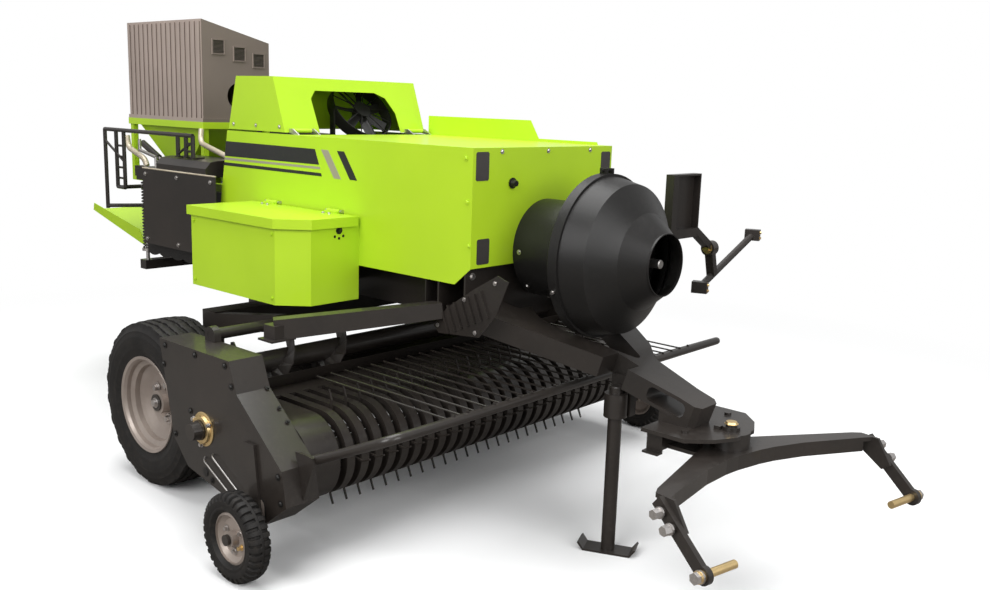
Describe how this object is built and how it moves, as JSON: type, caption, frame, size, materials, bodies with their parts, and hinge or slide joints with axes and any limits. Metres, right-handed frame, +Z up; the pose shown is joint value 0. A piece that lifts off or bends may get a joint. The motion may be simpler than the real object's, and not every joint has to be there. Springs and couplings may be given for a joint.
{
  "type": "square baler",
  "caption": "Towed square baler with pickup reel, bale chamber on a portal axle, drawbar with swinging two-armed hitch, jack, knotter hood and dust bin.",
  "frame": {"origin": "middle of the outline on the ground", "axes": "+X forwards to the tractor, +Y to the machine's left, +Z up"},
  "size_m": [4.7922, 2.64, 2.092],
  "materials": {
    "green_paint": "gloss",
    "dark_paint": "satin",
    "black_plastic": "satin",
    "tyre": "matte",
    "rim_grey": "satin",
    "bright_zinc": "satin",
    "gold_zinc": "satin",
    "bright_steel": "satin",
    "bin_grey": "matte",
    "cast_block": "matte"
  },
  "bodies": {
    "chassis": {"axle_beam": "dark_paint", "bale_chamber": "dark_paint", "bin_stand": "green_paint", "bulkheads": "dark_paint", "deck": "green_paint", "drawbar": "dark_paint", "dust_bin": "bin_grey", "fan_guard": "black_plastic", "flywheel_shield": "black_plastic", "front_frame": "dark_paint", "front_panel": "green_paint", "gearbox": "cast_block", "hinge_pins": "bright_zinc", "hitch_plates": "dark_paint", "hose_stand": "dark_paint", "knotters": "bright_steel", "needle_yoke": "dark_paint", "pickup_carrier": "dark_paint", "railings": "dark_paint", "rear_shields": "dark_paint", "side_panel_left": "green_paint", "side_panel_right": "green_paint", "tension_cranks": "bright_zinc", "tension_frame": "dark_paint", "tension_springs": "dark_paint", "twine_boxes": "green_paint"},
    "wheel_right": {"tyre_right": "tyre", "rim_right": "rim_grey"},
    "wheel_left": {"tyre_left": "tyre", "rim_left": "rim_grey"},
    "pickup": {"pickup_housings": "dark_paint", "strippers": "dark_paint", "feed_trough": "dark_paint", "rear_wall": "dark_paint"},
    "reel": {"pickup_reel": "dark_paint"},
    "auger": {"auger": "dark_paint"},
    "gauge_wheel_right": {"gauge_tyre_right": "tyre", "gauge_rim_right": "rim_grey"},
    "gauge_wheel_left": {"gauge_tyre_left": "tyre", "gauge_rim_left": "rim_grey"},
    "windguard": {"windguard": "dark_paint", "windguard_rods": "dark_paint"},
    "yoke": {"yoke": "dark_paint", "yoke_links": "dark_paint", "link_pins": "gold_zinc"},
    "jack": {"jack_leg": "dark_paint"},
    "lid_right": {"twine_lid_right": "green_paint"},
    "lid_left": {"twine_lid_left": "green_paint"},
    "hood": {"hood": "green_paint"},
    "fan": {"fan_rotor": "black_plastic"},
    "input_shaft": {"input_shaft": "bright_steel"},
    "chute": {"chute": "green_paint"}
  },
  "joints": [
    {"name": "wheel_right_turn", "type": "hinge", "parent": "chassis", "child": "wheel_right", "pos_m": [-0.38776, -0.928, 0.366], "axis": [0, 1, 0], "continuous": true},
    {"name": "wheel_left_turn", "type": "hinge", "parent": "chassis", "child": "wheel_left", "pos_m": [-0.38776, 0.928, 0.366], "axis": [0, 1, 0], "continuous": true},
    {"name": "pickup_lift", "type": "hinge", "parent": "chassis", "child": "pickup", "pos_m": [0.15824, 0, 0.78], "axis": [0, -1, 0], "range_deg": [0, 4]},
    {"name": "reel_turn", "type": "hinge", "parent": "pickup", "child": "reel", "pos_m": [0.58824, 0, 0.37], "axis": [0, 1, 0], "continuous": true},
    {"name": "auger_turn", "type": "hinge", "parent": "pickup", "child": "auger", "pos_m": [0.13824, 0, 0.62], "axis": [0, 1, 0], "continuous": true},
    {"name": "gauge_wheel_right_turn", "type": "hinge", "parent": "pickup", "child": "gauge_wheel_right", "pos_m": [0.64224, -1.272, 0.165], "axis": [0, 1, 0], "continuous": true},
    {"name": "gauge_wheel_left_turn", "type": "hinge", "parent": "pickup", "child": "gauge_wheel_left", "pos_m": [0.64224, 1.272, 0.165], "axis": [0, 1, 0], "continuous": true},
    {"name": "windguard_lift", "type": "hinge", "parent": "pickup", "child": "windguard", "pos_m": [0.83324, 0, 0.45], "axis": [0, -1, 0], "range_deg": [0, 5]},
    {"name": "yoke_swing", "type": "hinge", "parent": "chassis", "child": "yoke", "pos_m": [1.86324, 0, 0.508], "axis": [0, 0, 1], "range_deg": [-33.5, 56.5]},
    {"name": "jack_raise", "type": "slide", "parent": "chassis", "child": "jack", "axis": [0, 0, 1], "range_m": [0, 0.18]},
    {"name": "lid_right_open", "type": "hinge", "parent": "chassis", "child": "lid_right", "pos_m": [-0.06176, -0.454, 1.234], "axis": [-1, 0, 0], "range_deg": [0, 88]},
    {"name": "lid_left_open", "type": "hinge", "parent": "chassis", "child": "lid_left", "pos_m": [-0.06176, 0.454, 1.234], "axis": [1, 0, 0], "range_deg": [0, 88]},
    {"name": "hood_open", "type": "hinge", "parent": "chassis", "child": "hood", "pos_m": [-0.18576, 0, 1.556], "axis": [0, 1, 0], "range_deg": [0, 100]},
    {"name": "fan_turn", "type": "hinge", "parent": "chassis", "child": "fan", "pos_m": [-0.33676, 0.115, 1.64], "axis": [0.766, 0, 0.6428], "continuous": true},
    {"name": "input_shaft_turn", "type": "hinge", "parent": "chassis", "child": "input_shaft", "pos_m": [1.23824, 0, 1.134], "axis": [1, 0, 0], "continuous": true},
    {"name": "chute_fold", "type": "hinge", "parent": "chassis", "child": "chute", "pos_m": [-1.77776, 0, 0.838], "axis": [0, 1, 0], "range_deg": [0, 20]}
  ]
}
